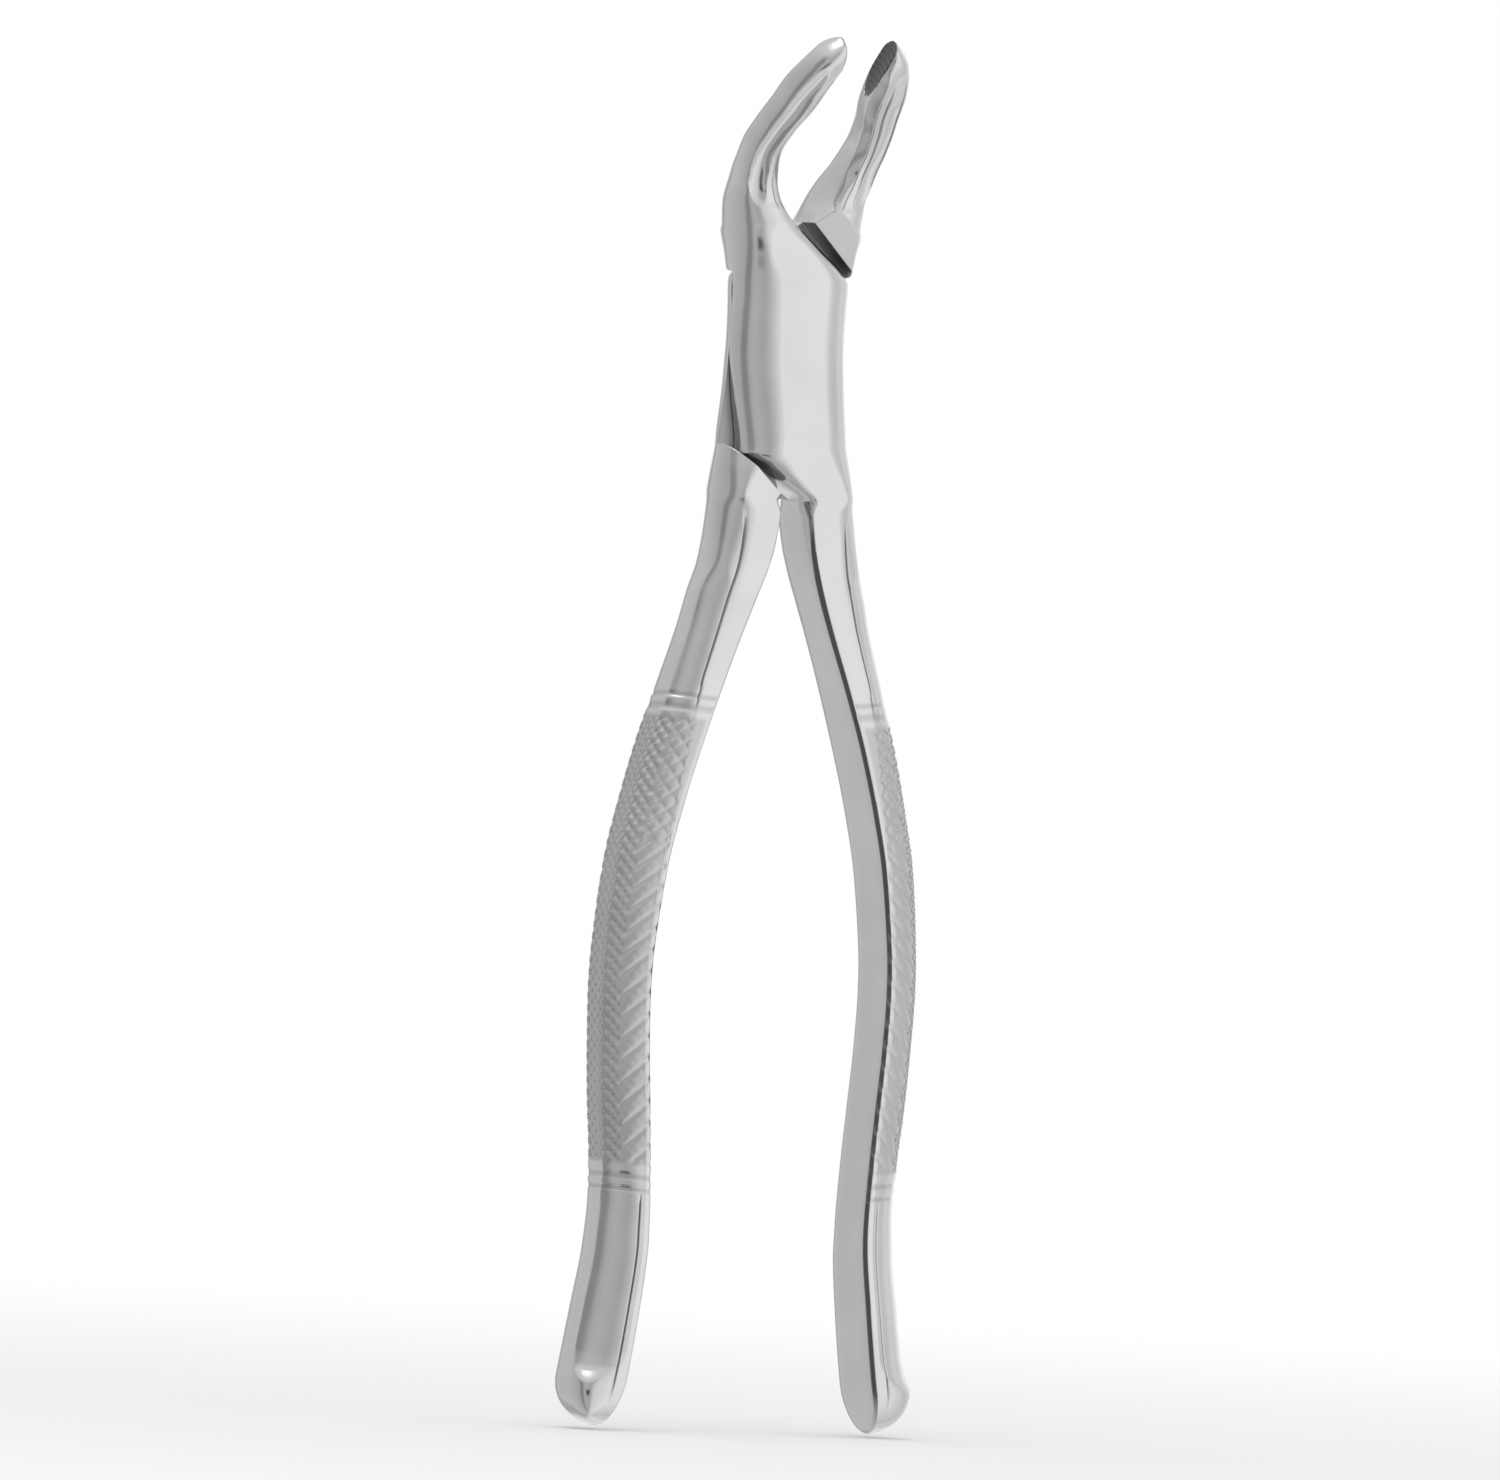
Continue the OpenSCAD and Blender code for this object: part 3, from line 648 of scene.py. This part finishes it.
def build_screw():
    """Shoulder screw with a slotted, slightly crowned head and grooves for its thread."""
    seat, end = FACE_Y - HEAD_T, -LAP - THREAD_L + 0.3
    r, s, h = THREAD_D / 2, SHOULDER_D / 2, HEAD_D / 2
    profile = [(0.0, end), (r - 0.4, end), (r, end + 0.4)]
    pitch, y = 0.5, end + 0.5
    while y < -LAP - 0.5:
        profile += [(r, y), (r - 0.22, y + pitch / 2)]
        y += pitch
    profile += [(r - 0.2, -LAP - 0.2), (r - 0.2, -LAP - 0.001), (s - 0.15, -LAP), (s, -LAP + 0.15),
                (s, seat + 0.01), (h - 0.1, seat + 0.01), (h, seat + 0.1), (h, FACE_Y - 0.3)]
    profile += [(h - 0.3 * (1 - math.cos(a)), FACE_Y - 0.3 + 0.26 * math.sin(a))
                for a in np.linspace(0.3, math.pi / 2, 6)]
    profile += [(h * f, FACE_Y - 0.04 + 0.04 * (1 - f * f)) for f in (0.8, 0.6, 0.4, 0.2)]
    profile += [(0.0, FACE_Y)]
    turns = circle(1, 96)
    verts = [(rad * cx, y, rad * cz) for rad, y in profile for cx, cz in turns]
    mesh = mesh_from(verts, tube(len(profile), len(turns)), "pivot_screw_steel")
    with editing(mesh) as bm:
        bmesh.ops.remove_doubles(bm, verts=bm.verts, dist=1e-5)
        bmesh.ops.recalc_face_normals(bm, faces=bm.faces)
    screw = add(mesh)
    w = SLOT_W / 2
    cut(screw, prism([(-6, -w), (6, -w), (6, w), (-6, w)], FACE_Y - SLOT_T, FACE_Y + 2, "slot"))
    with editing(screw.data) as bm:
        for e in bm.edges:
            e.smooth = not (len(e.link_faces) == 2 and e.calc_face_angle(0) > CRISP)
        for f in bm.faces:
            f.smooth = True
        for v in bm.verts:
            v.co = Vector((v.co.x, v.co.y - FACE_Y, v.co.z)) * MM
    return screw


# ---------------------------------------------------------------- materials
class Nodes:
    def __init__(self, tree):
        self.tree = tree
        tree.nodes.clear()

    def add(self, kind, **values):
        node = self.tree.nodes.new(kind)
        for key, value in values.items():
            setattr(node, key, value)
        return node

    def link(self, a, b):
        self.tree.links.new(a, b)

    def math(self, op, a, b=None, c=None):
        node = self.add("ShaderNodeMath", operation=op)
        for slot, value in enumerate((a, b, c)):
            if value is None:
                continue
            if isinstance(value, (int, float)):
                node.inputs[slot].default_value = value
            else:
                self.link(value, node.inputs[slot])
        return node.outputs[0]

    def value(self, kind, output, **inputs):
        """A node fed by the keyword inputs, each a socket or a plain value, and one of its outputs."""
        node = self.add(kind)
        for key, given in inputs.items():
            socket = node.inputs[key]
            if isinstance(given, bpy.types.NodeSocket):
                self.link(given, socket)
            else:
                socket.default_value = given
        return node.outputs[output]

    def darken(self, colour, amount, shade):
        """Multiplies a colour by a shade as far as the amount says."""
        node = self.add("ShaderNodeMix", data_type="RGBA", blend_type="MULTIPLY")
        self.link(amount, node.inputs["Factor"])
        self.link(colour, node.inputs["A"])
        node.inputs["B"].default_value = (*shade, 1)
        return node.outputs["Result"]

    def ramp(self, value, a, b, low, high):
        node = self.add("ShaderNodeMapRange", interpolation_type="SMOOTHSTEP", clamp=True)
        self.link(value, node.inputs["Value"])
        for key, v in (("From Min", a), ("From Max", b), ("To Min", low), ("To Max", high)):
            node.inputs[key].default_value = v
        return node.outputs["Result"]


def steel(name, tone, rough, grain, marked=False):
    """Polished stainless steel: faint cloudiness in colour and gloss, fine polishing lines and softened edges. grain is
    how fine the lines are along each axis, and marked steel is duller where knurled and darkened by painted shade on
    its lines and collar grooves."""
    mat = bpy.data.materials.new(name)
    mat.use_nodes = True
    n = Nodes(mat.node_tree)
    out = n.add("ShaderNodeOutputMaterial")
    bsdf = n.add("ShaderNodeBsdfPrincipled")
    n.link(bsdf.outputs[0], out.inputs["Surface"])
    bsdf.inputs["Metallic"].default_value = 1.0
    place = n.add("ShaderNodeTexCoord").outputs["Object"]
    cloud = n.value("ShaderNodeTexNoise", 0, Vector=place, Scale=120, Detail=4)
    stretched = n.value("ShaderNodeMapping", 0, Vector=place, Scale=grain)
    lines = n.value("ShaderNodeTexNoise", 0, Vector=stretched, Scale=1.0, Detail=3)

    mix = n.add("ShaderNodeMix", data_type="RGBA")
    n.link(n.ramp(cloud, 0.3, 0.7, 0, 1), mix.inputs["Factor"])
    mix.inputs["A"].default_value = (tone * 0.955, tone * 0.96, tone * 0.97, 1)
    mix.inputs["B"].default_value = (tone * 1.02, tone * 1.022, tone * 1.03, 1)
    colour = mix.outputs["Result"]
    gloss = n.math("MULTIPLY_ADD", lines, 0.05, n.ramp(cloud, 0.3, 0.7, rough - 0.02, rough + 0.03))
    if marked:
        knurled = n.add("ShaderNodeAttribute", attribute_name="knurled").outputs["Fac"]
        line = n.add("ShaderNodeAttribute", attribute_name="line").outputs["Fac"]
        gloss = n.math("MULTIPLY_ADD", knurled, 0.16, gloss)
        colour = n.darken(colour, knurled, (0.85, 0.85, 0.86))
        # painted shade: the colour is darkened to 0.3 along the lines and in the collar grooves
        colour = n.darken(colour, n.ramp(line, 0.1, 0.9, 0, 1), (0.30, 0.30, 0.31))
    n.link(colour, bsdf.inputs["Base Color"])
    n.link(gloss, bsdf.inputs["Roughness"])

    edge = n.add("ShaderNodeBevel", samples=6)
    edge.inputs["Radius"].default_value = 0.18 * MM
    bump = n.value("ShaderNodeBump", 0, Strength=0.05, Distance=0.04 * MM, Height=lines, Normal=edge.outputs[0])
    n.link(bump, bsdf.inputs["Normal"])
    return mat


lever_steel = steel("polished steel", 0.62, 0.13, (2600, 2600, 260), marked=True)
# painted shade: tone 0.36 darkens the joint's inner faces; their rougher ground finish is real
inner_steel_painted_shade = steel("ground inner faces with painted shade", 0.36, 0.34, (300, 3000, 3000))
# painted shade: tone 0.15 darkens the serrated hollow; its rougher finish is real
serrated_steel_painted_shade = steel("serrated hollow with painted shade", 0.15, 0.30, (3000, 3000, 400))
screw_steel = steel("ground screw steel", 0.58, 0.22, (3000, 300, 3000))

front, rear = build_levers()
screw = build_screw()
levers = (lever_steel, inner_steel_painted_shade, serrated_steel_painted_shade)
for piece, body, node, mats, slot in (
    (front, "front", "front_lever", levers, "polished_steel"),
    (rear, "rear", "rear_lever", levers, "polished_steel"),
    (screw, "front", "pivot_screw", (screw_steel,), "screw_steel"),
):
    index = np.zeros(len(piece.data.polygons), np.int32)
    piece.data.polygons.foreach_get("material_index", index)
    piece.data.materials.clear()
    for mat in mats:
        piece.data.materials.append(mat)
    piece.data.polygons.foreach_set("material_index", index)
    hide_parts(node)
    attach(piece, body)

# ---------------------------------------------------------------- floor
FLOOR_RADIUS, FLOOR_DROP, FADE = 1.4, 0.5 * MM, (0.05, 0.55)  # the floor fades out between these distances

low, high = CAD_BOX
mesh = bpy.data.meshes.new("floor")
with editing(mesh) as bm:
    bmesh.ops.create_circle(bm, cap_ends=True, segments=96, radius=FLOOR_RADIUS)
floor = add(mesh)
floor.location = (0, 0, low.z - FLOOR_DROP)
mat = bpy.data.materials.new("pale floor")
mat.use_nodes = True
n = Nodes(mat.node_tree)
out = n.add("ShaderNodeOutputMaterial")
pale = n.add("ShaderNodeBsdfPrincipled")
pale.inputs["Base Color"].default_value = (0.93, 0.93, 0.93, 1)
pale.inputs["Roughness"].default_value = 0.9
pale.inputs["Specular IOR Level"].default_value = 0.0
clear = n.add("ShaderNodeBsdfTransparent")
mix = n.add("ShaderNodeMixShader")
away = n.add("ShaderNodeVectorMath", operation="LENGTH")
n.link(n.add("ShaderNodeTexCoord").outputs["Object"], away.inputs[0])
n.link(n.ramp(away.outputs["Value"], *FADE, 0, 1), mix.inputs[0])
n.link(pale.outputs[0], mix.inputs[1])
n.link(clear.outputs[0], mix.inputs[2])
n.link(mix.outputs[0], out.inputs["Surface"])
floor.data.materials.append(mat)
floor.visible_glossy = False  # the steel reflects the studio, not the floor

# ---------------------------------------------------------------- camera
AZIMUTH, ROLL, DISTANCE, FRAME_WIDTH = math.radians(-32), math.radians(3.07), 2.5, 0.1889
PIVOT_RIGHT, PIVOT_UP = 4.31 * MM, 48.5 * MM  # the pivot's place from the middle of the picture
SENSOR = 36

back = Vector((math.sin(AZIMUTH), -math.cos(AZIMUTH), 0))
side = Vector((math.cos(AZIMUTH), math.sin(AZIMUTH), 0))
up = Vector((0, 0, 1))
# the instrument leans to the right in the picture, so the camera rolls the other way
right = side * math.cos(ROLL) + up * math.sin(ROLL)
above = up * math.cos(ROLL) - side * math.sin(ROLL)
aim = Vector(joint["pos_m"]) - right * PIVOT_RIGHT - above * PIVOT_UP
cam = bpy.data.objects.new("camera", bpy.data.cameras.new("camera"))
bpy.context.scene.collection.objects.link(cam)
cam.data.sensor_width = SENSOR
cam.data.lens = SENSOR * DISTANCE / FRAME_WIDTH
cam.data.clip_start, cam.data.clip_end = 0.1, 20
cam.location = aim + back * DISTANCE
cam.rotation_mode = "QUATERNION"
cam.rotation_quaternion = Matrix([[right[i], above[i], back[i]] for i in range(3)]).to_quaternion()
bpy.context.scene.camera = cam

# ---------------------------------------------------------------- studio
# Brightness seen in a reflection, by its direction round the upright axis from the camera, in degrees
STUDIO = (
    (-180, 1.0), (-160, 0.95), (-148, 0.55), (-136, 0.55), (-128, 0.78), (-116, 0.72), (-95, 0.66), (-69, 0.60),
    (-57, 0.58), (-50, 0.36), (-34, 0.34), (-26, 0.60), (-13, 0.65), (-1, 0.60), (10, 0.55), (20, 0.70), (28, 0.90),
    (36, 1.0), (54, 1.02), (60, 1.16), (68, 1.20), (76, 1.02), (90, 0.93), (100, 0.84), (113, 0.80), (122, 0.98),
    (139, 0.88), (155, 1.15), (180, 1.0))
BRIGHTEST = 1.25
OVERHEAD, OVERHEAD_FROM = 0.86, (0.30, 0.75)  # brightness of the ceiling, and the heights where it takes over
# The dark camera and whoever stands behind it: half width in radians, lower and upper edge, and how dark it is
CAMERA_SIDES, CAMERA_LOW, CAMERA_HIGH, CAMERA_DARK = (0.13, 0.24), (-0.66, -0.50), (-0.44, -0.32), 0.94
SOFTBOX_SIZE, SOFTBOX_POWER = 1.2, 7.0

world = bpy.data.worlds.new("studio")
bpy.context.scene.world = world
world.use_nodes = True
n = Nodes(world.node_tree)
out = n.add("ShaderNodeOutputWorld")
look = n.add("ShaderNodeTexCoord").outputs["Generated"]


def along(direction):
    node = n.add("ShaderNodeVectorMath", operation="DOT_PRODUCT")
    n.link(look, node.inputs[0])
    node.inputs[1].default_value = direction
    return node.outputs["Value"]


def background(strength):
    return n.value("ShaderNodeBackground", 0, Color=(1, 1, 1, 1), Strength=strength)


theta = n.math("ARCTAN2", along(side), along(back))
ring = n.add("ShaderNodeValToRGB")
n.link(n.math("MULTIPLY_ADD", theta, 0.5 / math.pi, 0.5), ring.inputs[0])
stops = ring.color_ramp.elements
for angle, value in STUDIO:
    stop = stops[0] if angle == -180 else stops[-1] if angle == 180 else stops.new(0.5 + angle / 360)
    stop.color = (value / BRIGHTEST,) * 3 + (1,)
wall = n.math("MULTIPLY", ring.outputs[0], BRIGHTEST)
height = along((0, 0, 1))
top = n.ramp(height, *OVERHEAD_FROM, 0, 1)
wall = n.math("ADD", n.math("MULTIPLY", wall, n.math("SUBTRACT", 1, top)), n.math("MULTIPLY", top, OVERHEAD))
near = n.ramp(n.math("ABSOLUTE", theta), *CAMERA_SIDES, 1, 0)
low_down = n.math("MULTIPLY", n.ramp(height, *CAMERA_LOW, 0, 1), n.ramp(height, *CAMERA_HIGH, 1, 0))
shade = n.math("SUBTRACT", 1, n.math("MULTIPLY", n.math("MULTIPLY", near, low_down), CAMERA_DARK))
mix = n.add("ShaderNodeMixShader")
n.link(n.add("ShaderNodeLightPath").outputs["Is Camera Ray"], mix.inputs[0])
n.link(background(n.math("MULTIPLY", wall, shade)), mix.inputs[1])
n.link(background(1.0), mix.inputs[2])
n.link(mix.outputs[0], out.inputs["Surface"])

key = bpy.data.objects.new("softbox", bpy.data.lights.new("softbox", "AREA"))
key.data.shape, key.data.size, key.data.energy = "DISK", SOFTBOX_SIZE, SOFTBOX_POWER
key.location = aim + up * 2.2 + back * 0.7 - side * 0.3
key.rotation_mode = "QUATERNION"
key.rotation_quaternion = (key.location - aim).to_track_quat("Z", "Y")
bpy.context.scene.collection.objects.link(key)

bpy.context.scene.view_settings.view_transform = "Standard"
